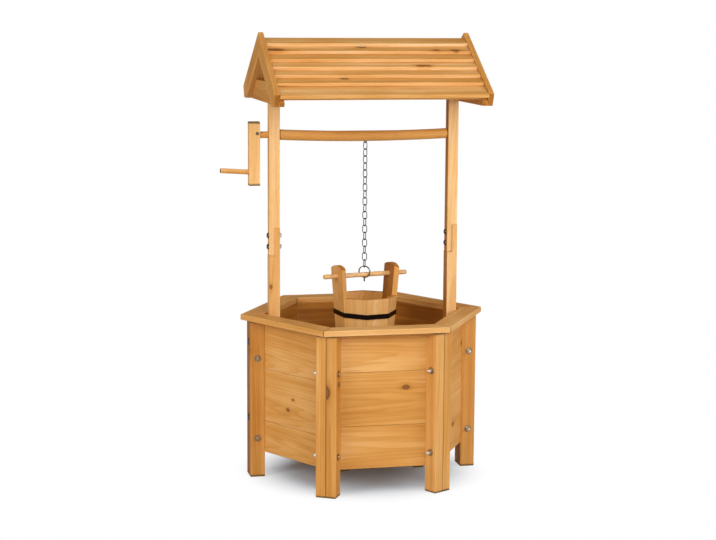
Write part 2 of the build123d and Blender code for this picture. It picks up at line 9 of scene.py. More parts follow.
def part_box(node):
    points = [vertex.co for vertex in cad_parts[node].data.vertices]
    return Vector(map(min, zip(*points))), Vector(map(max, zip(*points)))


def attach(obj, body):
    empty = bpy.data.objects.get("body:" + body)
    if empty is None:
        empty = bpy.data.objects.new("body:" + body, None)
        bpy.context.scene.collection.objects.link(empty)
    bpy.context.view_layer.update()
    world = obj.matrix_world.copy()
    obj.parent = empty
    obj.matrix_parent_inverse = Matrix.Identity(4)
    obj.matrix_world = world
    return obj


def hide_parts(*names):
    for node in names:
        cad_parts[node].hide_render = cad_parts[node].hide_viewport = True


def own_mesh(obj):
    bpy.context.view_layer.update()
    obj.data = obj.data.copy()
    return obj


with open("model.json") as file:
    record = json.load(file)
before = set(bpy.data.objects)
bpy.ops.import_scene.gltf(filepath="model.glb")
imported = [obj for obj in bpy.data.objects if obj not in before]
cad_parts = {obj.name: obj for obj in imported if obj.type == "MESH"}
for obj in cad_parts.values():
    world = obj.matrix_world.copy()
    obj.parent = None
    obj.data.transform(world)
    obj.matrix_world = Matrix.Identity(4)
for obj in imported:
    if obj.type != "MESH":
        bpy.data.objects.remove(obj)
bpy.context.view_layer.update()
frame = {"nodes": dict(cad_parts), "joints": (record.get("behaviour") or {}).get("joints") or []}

# A wishing well planter in honey-stained fir: a hexagonal planter on twelve half-posts, two uprights
# with a lapped-slat roof, and a winch with a chain that carries a stave bucket. Metres, +Z up.
timber = frame["nodes"]


# ---- Legs ----
# Twelve fir half-posts, two side by side at each corner of the hexagon, planed square with eased edges
# and dipped in a honey-coloured stain. Bolts across the corner hold each pair together.


class Varying:
    """A value that varies over a surface: a node's output, with the operators of shader maths."""

    def __init__(self, finish, socket):
        self.finish = finish
        self.socket = socket

    def maths(self, operation, left, right=0.0):
        return self.finish.node("Math", {"operation": operation}, {0: left, 1: right})

    def __add__(self, other):
        return self.maths("ADD", self, other)

    def __sub__(self, other):
        return self.maths("SUBTRACT", self, other)

    def __rsub__(self, other):
        return self.maths("SUBTRACT", other, self)

    def __mul__(self, other):
        return self.maths("MULTIPLY", self, other)

    def __truediv__(self, other):
        return self.maths("DIVIDE", self, other)

    def __gt__(self, other):
        return self.maths("GREATER_THAN", self, other)

    def __abs__(self):
        return self.maths("ABSOLUTE", self)

    __radd__ = __add__
    __rmul__ = __mul__

    def floor(self):
        return self.maths("FLOOR", self)

    def fraction(self):
        return self.maths("FRACT", self)

    def fading(self):
        """e to the power of minus the square: 1 at the middle, falling off smoothly."""
        return self.maths("EXPONENT", self * self * -1.0)

    def least(self, other):
        return self.maths("MINIMUM", self, other)

    def most(self, other):
        return self.maths("MAXIMUM", self, other)


class Finish:
    """The nodes of a material, or of the world."""

    def __init__(self, owner):
        self.owner = owner
        owner.use_nodes = True
        self.tree = owner.node_tree
        self.tree.nodes.clear()

    def node(self, kind, settings=None, sockets=None, output=0):
        """Adds a node: its settings first, then a value or a link for each socket; gives an output."""
        made = self.tree.nodes.new("ShaderNode" + kind)
        for name, value in (settings or {}).items():
            if name == "stops":
                self.set_stops(made.color_ramp, value)
            elif name == "steps":
                made.color_ramp.interpolation = value
            else:
                setattr(made, name, value)
        for key, value in (sockets or {}).items():
            if isinstance(value, Varying):
                self.tree.links.new(value.socket, made.inputs[key])
            else:
                made.inputs[key].default_value = value
        return Varying(self, made.outputs[output]) if made.outputs else None

    def set_stops(self, ramp, stops):
        """Gives a colour ramp its stops, as (place, colour) pairs from low to high."""
        while len(ramp.elements) < len(stops):
            ramp.elements.new(1.0)
        for element, (place, colour) in zip(ramp.elements, stops):
            element.position = place
            element.color = (*colour, 1.0)

    def place(self):
        return self.node("TexCoord", output="Object")

    def vector(self, x, y, z):
        return self.node("CombineXYZ", {}, {0: x, 1: y, 2: z})

    def parts(self, vector):
        split = self.node("SeparateXYZ", {}, {0: vector})
        outputs = split.socket.node.outputs
        return Varying(self, outputs[0]), Varying(self, outputs[1]), Varying(self, outputs[2])

    def length(self, x, y, z=0.0):
        return self.node("VectorMath", {"operation": "LENGTH"}, {0: self.vector(x, y, z)}, output="Value")

    def noise(self, x, y, z, detail=1.0, roughness=0.5):
        """Smooth noise from 0 to 1, with a feature about every unit of its three coordinates."""
        sockets = {"Vector": self.vector(x, y, z), "Scale": 1.0, "Detail": detail, "Roughness": roughness}
        return self.node("TexNoise", {}, sockets)

    def rise(self, low, high, value):
        """0 below low, 1 above high, and a smooth rise between them."""
        sockets = {"Value": value, "From Min": low, "From Max": high}
        return self.node("MapRange", {"interpolation_type": "SMOOTHSTEP"}, sockets)

    def mix(self, colour, other, share):
        """Two colours mixed. The node's sockets 6 and 7 and its output 2 are those for colours."""
        return self.node("Mix", {"data_type": "RGBA"}, {0: share, 6: colour, 7: other}, output=2)

    def bump(self, height, strength, distance):
        return self.node("Bump", {}, {"Height": height, "Strength": strength, "Distance": distance})

    def surface(self, **sockets):
        """Ends the material in a Principled shader with these sockets, given as words joined by _."""
        values = {name.replace("_", " "): value for name, value in sockets.items()}
        shader = self.node("BsdfPrincipled", {}, values)
        self.node("OutputMaterial", {}, {"Surface": shader})
        return self.owner


# The stained fir, from the palest sapwood to the darkest, with the knots' own browns, and the browns of
# painted shade in the seams and at the ends
fir_colours = [
    (0.00, (0.93, 0.670, 0.380)),
    (0.25, (0.82, 0.460, 0.165)),
    (0.50, (0.68, 0.315, 0.070)),
    (0.75, (0.52, 0.205, 0.028)),
    (1.00, (0.32, 0.100, 0.008)),
]
knot_brown = (0.215, 0.068, 0.013, 1.0)
knot_rim = (0.050, 0.015, 0.005, 1.0)
seam_shade_brown = (0.060, 0.022, 0.006, 1.0)
end_shade_brown = (0.120, 0.070, 0.022, 1.0)
ring_spacing = 0.0034
ring_bunching = 0.012
grain_wander = 0.011
fibre_size = 0.0007
worn_and_lit_edge = 0.0032
joint_shadow = 0.0018
grain_depth = 0.0004
knot_slant = 0.62
knot_taper = 0.5
swerve_reach = 0.42
halo_reach = 0.55
no_joint = 1.0  # a distance to the next joint that is out of reach


def one_board(half):
    """The layout of a node that is one straight board.

    A layout gives a board's number, the place across it, its half length, its half width and how far the
    nearest joint line with another board is.
    """

    def layout(finish, x, y, z):
        return 0.0, y, half[0], half[1], no_joint

    return layout


def turn_of(along, across):
    """The turn from a board's own axes (along the grain, across it, through it) to the model's."""
    along = Vector(along).normalized()
    across = Vector(across).normalized()
    return Matrix((along, across, along.cross(across))).transposed().to_euler()


def knots_of(wood, x, y, z, number, knots):
    """What the knots do at a point: how far the grain swerves, and the shares of knot, rim and halo.

    A knot is given as the number of its board, its place along, across and through it, and its radius.
    The distance from it is counted in its radii, less along the grain, as knots are cut aslant, and less
    through the board, as they taper slowly.
    """
    swerve = knot = rim = halo = 0.0
    for board, knot_x, knot_y, knot_z, knot_r in knots:
        from_y = y - knot_y
        distance = wood.length((x - knot_x) * knot_slant, from_y, (z - knot_z) * knot_taper)
        on_other_board = abs(number - board) * 40.0
        away = distance / knot_r + on_other_board
        ragged = away + (wood.noise(x * 260.0, y * 260.0, 0.0, 1.0) - 0.5) * 0.35
        swerve = swerve - from_y * (away * swerve_reach).fading() * 0.72
        knot = knot + (1.0 - wood.rise(0.72, 1.0, ragged))
        rim = rim + ((ragged - 0.92) * 4.2).fading()
        halo = halo + (away * halo_reach).fading()
    return swerve, knot, rim, halo


def tone_of(wood, number, tones):
    """The tone of a board, picked from the tones by the board's number."""
    count = len(tones)
    if count == 1:
        return tones[0]
    stops = [(i / count, (value,) * 3) for i, value in enumerate(tones)]
    return wood.node("ValToRGB", {"steps": "CONSTANT", "stops": stops}, {0: (number + 0.5) / count})


def facing_share(wood, direction):
    """The cosine between the surface and a direction, in the piece's own axes."""
    sockets = {0: wood.node("TexCoord", output="Normal"), 1: direction}
    return wood.node("VectorMath", {"operation": "DOT_PRODUCT"}, sockets, output="Value")


def fir(
    name, along, across, centre, half, seed, tones,
    layout=None, knots=(), soak=0.0, heart=None, figure=1.0,
):
    """Stained wood. Growth rings are rounds about a pith behind the board, (distance / spacing) modulo 1.

    The grain runs along, wanders with a slow noise and swerves round each knot. half is the board's half
    length, half width and half thickness. tones has one value for each board: 0 is the palest stain and
    1 the darkest. soak is how far in from the ends painted shade darkens the wood to dark
    brown. heart is a direction and how much darker the faces towards it are painted, a number or
    a function of the board's number: painted shade, and painted light where it is below 0. figure is the
    grain's contrast.
    """
    wood = Finish(bpy.data.materials.new(name))
    sockets = {"Vector": wood.place(), "Location": centre, "Rotation": turn_of(along, across)}
    x, y, z = wood.parts(wood.node("Mapping", {"vector_type": "TEXTURE"}, sockets))
    number, y, half_length, half_width, to_joint = (layout or one_board(half))(wood, x, y, z)
    swerve, knot, rim, halo = knots_of(wood, x, y, z, number, knots)

    # each board is cut from another place in the log, with its pith elsewhere and at another lean
    shift = seed * 0.613 + number * 1.37
    grain_x = x + shift
    wander = (wood.noise(grain_x * 2.4, y * 11.0 + shift, z * 11.0, 2.0) - 0.5) * grain_wander
    pith_y = ((seed * 0.37) % 1 - 0.5) * 0.05
    pith_z = 0.045 + ((seed * 0.53) % 1) * 0.06
    lean = ((seed * 0.71) % 1 - 0.5) * 0.07
    ring_y = y + wander + swerve - pith_y + number * 0.013
    radius = wood.length(0.0, ring_y, z + pith_z + x * lean)
    bunching = (wood.noise(grain_x * 1.4, y * 42.0 + shift, z * 42.0, 2.0) - 0.5) * ring_bunching
    in_ring = ((radius + bunching) / ring_spacing).fraction()
    latewood = wood.rise(0.35, 0.93, in_ring) * (1.0 - wood.rise(0.93, 1.0, in_ring))
    years = wood.noise(radius * 95.0, grain_x * 0.8, shift, 2.0) - 0.5
    streak = wood.noise(grain_x * 2.1, (y + wander + swerve) * 64.0, z * 64.0 + shift, 3.0, 0.6) - 0.5
    fibre = wood.noise(grain_x * 34.0, y / fibre_size, z / fibre_size, 1.0) - 0.5
    blotch = wood.noise(grain_x * 6.0, y * 17.0, z * 17.0, 2.0) - 0.5

    # end grain drinks more stain, and the edges are paler: wear from handling, and a painted highlight
    # where the eased edges catch the light
    end = wood.rise(0.55, 0.85, abs(facing_share(wood, tuple(Vector(along).normalized()))))
    to_side = half_width - abs(y)
    to_face = half[2] - abs(z)
    to_end = half_length - abs(x)
    to_edge = to_side.most(to_face).least(to_end.most(to_side.least(to_face)))
    worn_and_lit = 1.0 - wood.rise(0.0004, worn_and_lit_edge, to_edge + blotch * 0.003)

    grain = years * 0.40 + streak * 0.36 + blotch * 0.24 + latewood * 0.09 - 0.03
    shade = grain * figure + fibre * 0.10 + tone_of(wood, number, tones)
    shade = shade + end * 0.30 - worn_and_lit * 0.10 + halo * 0.22
    # painted shade on the faces towards a direction, and painted light where the amount is below 0
    if heart:
        direction, darker = heart
        darker = darker(number) if callable(darker) else darker
        shade = shade + wood.rise(0.5, 0.9, facing_share(wood, direction)) * darker
    colour = wood.node("ValToRGB", {"stops": fir_colours}, {0: shade})
    # painted shade: a band of dark brown at the ends, at the feet and on parts that lie in shadow
    if soak:
        soaked = 1.0 - wood.rise(soak * 0.4, soak, to_end + blotch * 0.004)
        colour = wood.mix(colour, end_shade_brown, soaked * 0.85)
    # painted shade in the seams between boards, darkest at the joint lines
    if layout:
        joint = 1.0 - wood.rise(0.0005, joint_shadow, to_joint + fibre * 0.0005)
        colour = wood.mix(colour, seam_shade_brown, joint * 0.62)
    if knots:
        colour = wood.mix(colour, knot_brown, knot * 0.68)
        colour = wood.mix(colour, knot_rim, rim.least(1.0) * 0.66)
    height = latewood * 0.45 + fibre * 0.55 + streak * 0.5 + end * fibre * 1.2
    return wood.surface(
        Base_Color=colour,
        Roughness=0.54 - latewood * 0.08 + blotch * 0.16 + end * 0.16 - worn_and_lit * 0.06,
        Specular_IOR_Level=0.25,
        Coat_Weight=0.04,
        Coat_Roughness=0.38,
        Normal=wood.bump(height, 0.40, grain_depth),
    )


def dress(node, material):
    """Gives a piece its one material."""
    slots = timber[node].data.materials
    slots.clear()
    slots.append(material)


def around(angle):
    """The directions out from the axis and across it, at an angle."""
    a = radians(angle)
    return Vector((cos(a), sin(a), 0.0)), Vector((-sin(a), cos(a), 0.0))


up = Vector((0.0, 0.0, 1.0))
corners = {
    "right": 0, "back_right": 60, "back_left": 120, "left": 180, "front_left": 240, "front_right": 300,
}
leg_low, leg_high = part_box("leg_right")
leg_half = ((leg_high.z - leg_low.z) / 2, (leg_high.y - leg_low.y) / 2, (leg_high.x - leg_low.x) / 2)
half_post = leg_half[1] / 2
leg_tones = {
    "right": (0.56, 0.50),
    "back_right": (0.50, 0.58),
    "back_left": (0.52, 0.46),
    # the left leg's darker tones are painted shade, as it faces away from the light
    "left": (0.70, 0.66),
    "front_left": (0.56, 0.61),
    "front_right": (0.50, 0.54),
}
leg_knots = {
    "front_left": [
        (1, 0.062, -half_post, -leg_half[2], 0.0095),
        (1, 0.105, half_post, 0.002, 0.0040),
        (1, 0.080, half_post, 0.003, 0.0035),
    ],
    "left": [(1, 0.125, 0.004, -leg_half[2], 0.0040)],
}


def half_posts(finish, x, y, z):
    """A leg's two half-posts, one on each side of the seam."""
    number = y > 0.0
    return number, y - (number * 2.0 - 1.0) * half_post, leg_half[0], half_post, abs(y)


for seed, (corner, angle) in enumerate(corners.items(), 1):
    outward, tangent = around(angle)
    middle = outward * (leg_low.x + leg_high.x) / 2 + up * leg_half[0]
    knots = leg_knots.get(corner, ())
    tones = leg_tones[corner]
    # the left leg's outer face is painted darker still: painted shade
    heart = (tuple(outward), 0.30) if corner == "left" else None
    # the feet's lowest few millimetres are painted dark brown: painted shade where they stand on the floor
    material = fir(
        f"leg_{corner}_fir", up, tangent, middle, leg_half, seed, tones, half_posts, knots,
        soak=0.007, heart=heart, figure=1.3,
    )
    dress(f"leg_{corner}", material)


# ---- Sides ----
# Three fir boards to each of the six sides, set edge on edge, with eased edges that make a fine groove
# at each seam. Their ends are cut to the legs.

sides = {
    "back_right": 30, "back": 90, "back_left": 150, "front_left": 210, "front": 270, "front_right": 330,
}
side_low, side_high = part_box("side_front")
side_half = ((side_high.x - side_low.x) / 2, (side_high.z - side_low.z) / 2, (side_high.y - side_low.y) / 2)
bottom_boards = (0.108, 0.082)
middle_board = 0.136
joint_depth = 0.0007  # how far in from the boards' edges their shadowed joint begins
side_tones = {
    "back_right": (0.52, 0.46, 0.56),
    "back": (0.48, 0.55, 0.50),
    "back_left": (0.55, 0.49, 0.53),
    "front_left": (0.50, 0.47, 0.52),
    "front": (0.47, 0.53, 0.45),
    "front_right": (0.50, 0.45, 0.52),
}
side_knots = {
    "front": [(1, 0.0574, 0.0269, side_half[2], 0.0052)],
    "front_left": [
        (1, -0.0170, -0.0240, side_half[2], 0.0038),
        (1, 0.0024, 0.0052, side_half[2], 0.0028),
    ],
    "front_right": [
        (2, 0.1060, -0.0117, side_half[2], 0.0055),
        (0, 0.0270, 0.0267, side_half[2], 0.0050),
    ],
}


def courses(bottom_board):
    """The layout of a side: a bottom board, a middle board and a top board."""
    seams = np.cumsum([-side_half[1], bottom_board, middle_board])
    edges = np.append(seams, side_half[1])
    centres = (edges[1:] + edges[:-1]) / 2
    halves = (edges[1:] - edges[:-1]) / 2

    def layout(finish, x, y, z):
        second = y > float(edges[1])
        third = y > float(edges[2])

        def stepped(values):
            first, middle, last = values.tolist()
            return first + second * (middle - first) + third * (last - middle)

        across = y - stepped(centres)
        half = stepped(halves)
        return second + third, across, side_half[0], half, half - abs(across) + joint_depth

    return layout


for index, (side, angle) in enumerate(sides.items()):
    outward, tangent = around(angle)
    middle = outward * -(side_low.y + side_high.y) / 2 + up * (side_low.z + side_high.z) / 2
    layout = courses(bottom_boards[index % 2])
    knots = side_knots.get(side, ())
    # the inner faces are painted darker: painted shade inside the planter
    heart = (tuple(-outward), 0.30)
    material = fir(
        f"side_{side}_fir", tangent, up, middle, side_half, 11 + index, side_tones[side], layout, knots,
        heart=heart, figure=1.15,
    )
    dress(f"side_{side}", material)


# ---- Rim ----
# Six flat fir boards on top of the sides and legs, mitred at the corners, screwed down from above. They
# stand out past the legs and are flush with the inside.

rim_low, rim_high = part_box("rim_front")
rim_half = ((rim_high.x - rim_low.x) / 2, (rim_high.y - rim_low.y) / 2, (rim_high.z - rim_low.z) / 2)
rim_middle = -(rim_low.y + rim_high.y) / 2
rim_tones = {
    "back_right": 0.42,
    "back": 0.38,
    "back_left": 0.44,
    "front_left": 0.48,
    "front": 0.33,
    "front_right": 0.36,
}


def mitred(finish, x, y, z):
    """A rim board, whose ends slant outwards: its half length grows with the distance from the axis."""
    half_length = (rim_middle - y) * tan(radians(30))
    return 0.0, y, half_length, rim_half[1], (half_length - abs(x)) * cos(radians(30))


for index, (side, angle) in enumerate(sides.items()):
    outward, tangent = around(angle)
    middle = outward * rim_middle + up * (rim_low.z + rim_high.z) / 2
    material = fir(
        f"rim_{side}_fir", tangent, -outward, middle, rim_half, 21 + index, (rim_tones[side],), mitred
    )
    dress(f"rim_{side}", material)


# ---- Floor ----
# Two bearers, fixed between the front side and the back side and painted nearly black, painted shade
# for the shadow they lie in, and five loose floor boards across them with drainage gaps.


def dress_board(node, along, across, seed, tones, **more):
    """Dresses a piece in fir that lies square to the model, its grain along and its width across."""
    low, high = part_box(node)
    own_axes = Matrix((Vector(along), Vector(across), Vector(along).cross(Vector(across))))
    half = tuple(abs(extent) for extent in own_axes @ ((high - low) / 2))
    dress(node, fir(f"{node}_fir", along, across, (low + high) / 2, half, seed, tones, **more))


floor_count = 5
floor_gap = 0.003
floor_half_length = 0.26
floor_low, floor_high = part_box("floor_boards")
floor_pitch = (floor_high.y - floor_low.y + floor_gap) / floor_count


def floor_layout(finish, x, y, z):
    """The floor's boards, counted from the front."""
    from_front = y - (floor_low.y - floor_high.y) / 2
    number = (from_front / floor_pitch).floor()
    across = from_front - (number + 0.5) * floor_pitch
    return number, across, floor_half_length, (floor_pitch - floor_gap) / 2, no_joint


dress_board("floor_boards", (1, 0, 0), (0, 1, 0), 31, (0.44, 0.52, 0.47, 0.55, 0.49), layout=floor_layout)
# the bearers get the darkest tone and dark brown ends: painted shade, as they lie in shadow under the
# planter
dress_board("bearer_left", (0, 1, 0), (-1, 0, 0), 32, (1.10,), soak=0.13)
dress_board("bearer_right", (0, 1, 0), (-1, 0, 0), 33, (1.05,), soak=0.13)


# ---- Bolts, washers and nuts ----
# M6 bolts: those of the legs have bronzed domed heads, washers and bright cap nuts. The four through
# the left and right corners have flat cap heads. They are of burnished steel, as are the splices' bolts
# and the screw of the crank.


def plated(name, base, roughness, dull):
    """Plated steel with a fine crystalline mottle and a few dull patches."""
    steel = Finish(bpy.data.materials.new(name))
    x, y, z = steel.parts(steel.place())
    mottle = steel.noise(x * 900.0, y * 900.0, z * 900.0, 2.0)
    patch = steel.rise(0.52, 0.70, steel.noise(x * 130.0, y * 130.0, z * 130.0, 2.0))
    colour = steel.mix(base, dull, patch * 0.7)
    return steel.surface(
        Base_Color=colour,
        Metallic=1.0,
        Roughness=mottle * 0.16 + patch * 0.14 + roughness,
        Normal=steel.bump(mottle, 0.12, 0.0002),
    )


zinc = plated("bright_zinc", (0.78, 0.77, 0.75, 1.0), 0.22, (0.36, 0.34, 0.31, 1.0))
bronzed = plated("bronzed_steel", (0.52, 0.34, 0.19, 1.0), 0.16, (0.10, 0.05, 0.02, 1.0))
washer_steel = plated("washer_steel", (0.36, 0.26, 0.16, 1.0), 0.28, (0.16, 0.11, 0.07, 1.0))
burnished = plated("burnished_steel", (0.15, 0.13, 0.11, 1.0), 0.20, (0.07, 0.06, 0.05, 1.0))
dress("leg_bolts", bronzed)
dress("washers", washer_steel)
dress("nuts", zinc)
for node in ("corner_bolts", "splice_bolts", "crank_screw"):
    dress(node, burnished)


# ---- Uprights ----
# On each side a lower post stands inside the corner, and an upper post is lapped onto it and bolted. The
# posts are planed, of paler fir than the planter. The right ones are darker on their inner faces.

# the right posts are darker on their faces towards -X, their inner faces
heart = ((-1.0, 0.0, 0.0), 0.62)
left_knot = (0, 0.1228, -0.010, -0.017, 0.0032)
right_knot = (0, 0.215, -0.004, -0.017, 0.0034)
dress_board("lower_upright_left", up, (1, 0, 0), 41, (0.36,), knots=[left_knot])
dress_board("lower_upright_right", up, (1, 0, 0), 42, (0.30,), knots=[right_knot], heart=heart)
dress_board("upper_upright_left", up, (1, 0, 0), 43, (0.27,))
dress_board("upper_upright_right", up, (1, 0, 0), 44, (0.19,), heart=heart)


# ---- Gables ----
# At each end of the roof a tie board is screwed across the upright, with two rafters over it that are
# mitred at the ridge. Two barge boards cover them on the outside. All are 13 mm fir.

roof_slope = radians(31.07)
rafter_width = 0.028
barge_above_rafter = 0.022
ridge_rise = 0.097
ridge_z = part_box("upper_upright_left")[1].z + ridge_rise
gable_figure = 1.2


def down_slope(way):
    """The directions down a slope and out of it; way is -1 in front and +1 behind."""
    down = Vector((0.0, way * cos(roof_slope), -sin(roof_slope)))
    out = Vector((0.0, way * sin(roof_slope), cos(roof_slope)))
    return down, out


def sloping_board(node, way, seed, tone, low_n, high_n):
    """Dresses a gable board between two lines along the slope, at heights low_n and high_n over it."""
    low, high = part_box(node)
    down, out = down_slope(way)
    half_run = (high.y - low.y) / 2 / cos(roof_slope)
    middle = Vector(((low.x + high.x) / 2, 0.0, ridge_z)) + down * half_run + out * (low_n + high_n) / 2
    half = (half_run, (high_n - low_n) / 2, (high.x - low.x) / 2)
    dress(node, fir(f"{node}_fir", down, out, middle, half, seed, (tone,), figure=gable_figure))


dress_board("tie_board_left", (0, 1, 0), up, 51, (0.60,), figure=gable_figure)
dress_board("tie_board_right", (0, 1, 0), up, 52, (0.55,), figure=gable_figure)
seed = 53
for side in ("left", "right"):
    for way_name, way in (("front", -1), ("back", 1)):
        rafter = f"rafter_{way_name}_{side}"
        barge_board = f"barge_board_{way_name}_{side}"
        sloping_board(rafter, way, seed, 0.55, -rafter_width, 0.0)
        sloping_board(barge_board, way, seed + 1, 0.60, -rafter_width, barge_above_rafter)
        seed += 2


# ---- Roof slats ----
# Seven thin fir slats to each slope, lapped like clapboard and nailed to the rafters. The lowest one is
# wider and lies on a wedge-shaped fillet.

slat_count = 7
slat_thickness = 0.009
slat_pitch = 0.0355
slat_width = 0.050
slat_half_length = 0.2595
ridge_slat_butt = 0.040
lap_spare = 0.04  # a share of a slat's thickness, so that its top isn't taken for the next one's
slat_tilt = float(np.arcsin(slat_thickness / slat_pitch))
first_slat_start = ridge_slat_butt - slat_width * cos(slat_tilt)
upright_thickness = slat_thickness / cos(slat_tilt)


def lapped(finish, x, y, z):
    """The slats of a slope, told apart by how far a point is below the ridge slat's underside.

    A slat's number is that depth / the slats' upright thickness, rounded up, from 0 at the ridge.
    """
    run = -1.0 * y - first_slat_start
    depth = run * tan(slat_tilt) - z
    number = (depth / upright_thickness + (1.0 + lap_spare)).floor().least(slat_count - 1.0).most(0.0)
    across = run - number * slat_pitch - slat_width / 2
    return number, across, slat_half_length, slat_width / 2, no_joint


def lit_butts(number):
    """How much darker a slat's lower edge is than its face: 0 for the eave slat.

    It is below 0 for the others, whose edges are painted paler: painted light, as on edges that face the
    lamps in front.
    """
    return (number > slat_count - 1.5) * 0.26 - 0.26


slat_tones = {
    "front": (0.46, 0.44, 0.48, 0.40, 0.46, 0.50, 0.42),
    "back": (0.44, 0.38, 0.47, 0.41, 0.45, 0.40, 0.49),
}
roof_half_depth = 0.1  # deeper than the slats lie, which leaves only their corners paler, with wear and a painted highlight
# the knots on top of the slats: the slat's number, the places along and across it, and the radius
slat_knots = {
    "front": [
        (1, -0.2480, 0.0110, 0.0070),
        (1, -0.2310, 0.0120, 0.0060),
        (1, -0.0190, -0.0090, 0.0070),
        (1, 0.1700, 0.0140, 0.0050),
        (1, 0.2202, 0.0150, 0.0065),
        (3, 0.1140, 0.0140, 0.0060),
        (3, 0.1320, 0.0150, 0.0050),
        (5, -0.0875, -0.0080, 0.0060),
    ],
    "back": [(2, -0.1200, 0.0100, 0.0050), (4, 0.1600, 0.0050, 0.0045)],
}
for index, (way_name, way) in enumerate((("front", -1), ("back", 1))):
    down, out = down_slope(way)
    along = (-down).cross(out)
    ridge = Vector((0.0, 0.0, ridge_z))
    half = (slat_half_length, slat_width / 2, roof_half_depth)
    knots = []
    for board, x, y, r in slat_knots[way_name]:
        on_top = (y + slat_width / 2) * tan(slat_tilt) + upright_thickness
        knots.append((board, x, y, on_top, r))
    material = fir(
        f"slats_{way_name}_fir", along, -down, ridge, half, 71 + index, slat_tones[way_name], lapped, knots,
        # the slats' lower edges are painted paler: painted light
        heart=(tuple(down), lit_butts), figure=1.7,
    )
    dress(f"roof_slats_{way_name}", material)
    dress_board(f"eave_fillet_{way_name}", (1, 0, 0), (0, 1, 0), 73 + index, (0.55,))


# ---- Winch ----
# A pole turned from fir, a little bowed, with a tenon at each end. The left tenon goes through its
# upright into the crank arm, where a screw holds it, and a dowel handle stands in the arm.

dress_board("winch_pole", (1, 0, 0), (0, 1, 0), 81, (0.50,))
# The arm's ends are painted dark brown, painted shade as on its end chamfers; the handle's ends get a
# thinner band of the same.
dress_board("crank_arm", up, (1, 0, 0), 82, (0.26,), soak=0.007)
dress_board("crank_handle", (1, 0, 0), (0, 1, 0), 83, (0.46,), soak=0.002)


# ---- Chain ----
# Straight-link chain of dull plated wire, hung from a staple in the pole, each link turned a little
# more than a quarter from the last. The upper links wind on to the pole as the bucket is raised.

chain_steel = plated("chain_steel", (0.14, 0.13, 0.12, 1.0), 0.20, (0.08, 0.07, 0.06, 1.0))
dress("chain_staple", chain_steel)


def swept_wire(path, outward, sideways, radius, round_count):
    """A round wire along a path: path point + radius * (cos p * outward + sin p * sideways)."""
    p = np.linspace(0.0, 2 * pi, round_count, endpoint=False)
    ring = np.cos(p)[None, :, None] * outward[:, None, :] + np.sin(p)[None, :, None] * sideways[:, None, :]
    return path[:, None, :] + radius * ring


def grid_faces(rows, columns, closed_rows, start=0):
    """Four-sided faces between neighbouring rows and columns; the columns go all the way round."""
    row = np.arange(rows if closed_rows else rows - 1)[:, None]
    column = np.arange(columns)[None, :]
    next_row = (row + 1) % rows
    next_column = (column + 1) % columns
    near = [row * columns + column, next_row * columns + column]
    far = [next_row * columns + next_column, row * columns + next_column]
    return np.stack(near + far, axis=-1).reshape(-1, 4) + start


def new_piece(name, points, faces, material, body):
    """A smooth-shaded piece from its points and faces, riding on a body."""
    mesh = bpy.data.meshes.new(name)
    mesh.from_pydata(points.tolist(), [], [list(face) for face in faces])
    mesh.validate()
    mesh.polygons.foreach_set("use_smooth", np.ones(len(mesh.polygons), dtype=bool))
    mesh.materials.append(material)
    piece = bpy.data.objects.new(name, mesh)
    bpy.context.scene.collection.objects.link(piece)
    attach(piece, body)
    return piece


wire_r = 0.0011
link_pitch = 0.0179
link_width = 0.0140
link_clearance = 0.00015
link_length = link_pitch + 4 * wire_r + link_clearance
link_turn = -58.0
link_twist = 1.53
upper_count = 14
lower_count = 4
chain_x = 0.004
chain_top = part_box("chain_upper")[1].z
link_samples = 36
link_wire_sides = 12


def link(number):
    """One link: a stadium path of two half rounds joined by straights, with a round wire along it.

    The path is centre + (bend * cos t, straight * sign(sin t) + bend * sin t), its samples shared out
    between the rounds. The link is turned about the vertical by its number.
    """
    bend = link_width / 2 - wire_r
    straight = (link_length - link_width) / 2
    t = np.linspace(0.0, 2 * pi, link_samples, endpoint=False)
    t = t + 0.5 * (t[1] - t[0])
    turn = radians(link_turn + number * (90 + link_twist))
    flat = np.array((cos(turn), sin(turn), 0.0))
    side = np.array((-sin(turn), cos(turn), 0.0))
    vertical = np.array((0.0, 0.0, 1.0))
    outward = np.cos(t)[:, None] * flat + np.sin(t)[:, None] * vertical
    centre = np.array((chain_x, 0.0, chain_top - link_length / 2 - number * link_pitch))
    path = centre + bend * outward + (straight * np.sign(np.sin(t)))[:, None] * vertical
    return swept_wire(path, outward, np.broadcast_to(side, outward.shape), wire_r, link_wire_sides)


def chain(name, numbers, body):
    """Several links as one piece."""
    links = [link(number) for number in numbers]
    points = np.concatenate([wire.reshape(-1, 3) for wire in links])
    rows, columns = links[0].shape[:2]
    faces = [grid_faces(rows, columns, True, i * rows * columns) for i in range(len(links))]
    return new_piece(name, points, np.concatenate(faces), chain_steel, body)


upper_chain = chain("upper_links", range(upper_count), "base")
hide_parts("chain_upper")
upper_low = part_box("chain_upper")[0].z
wound = next(joint for joint in frame["joints"] if joint["name"] == "bucket_lift")["range_m"][1]
keep = 1 - wound / (chain_top - upper_low)
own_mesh(upper_chain)
lower_chain = chain("lower_links", range(upper_count, upper_count + lower_count), "chain_end")
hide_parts("chain_lower")


# ---- Bucket ring ----
# A split ring of two turns of spring wire, hooked through the last link, with a short riveted stem at
# its foot. The bucket's dowel lies in it.

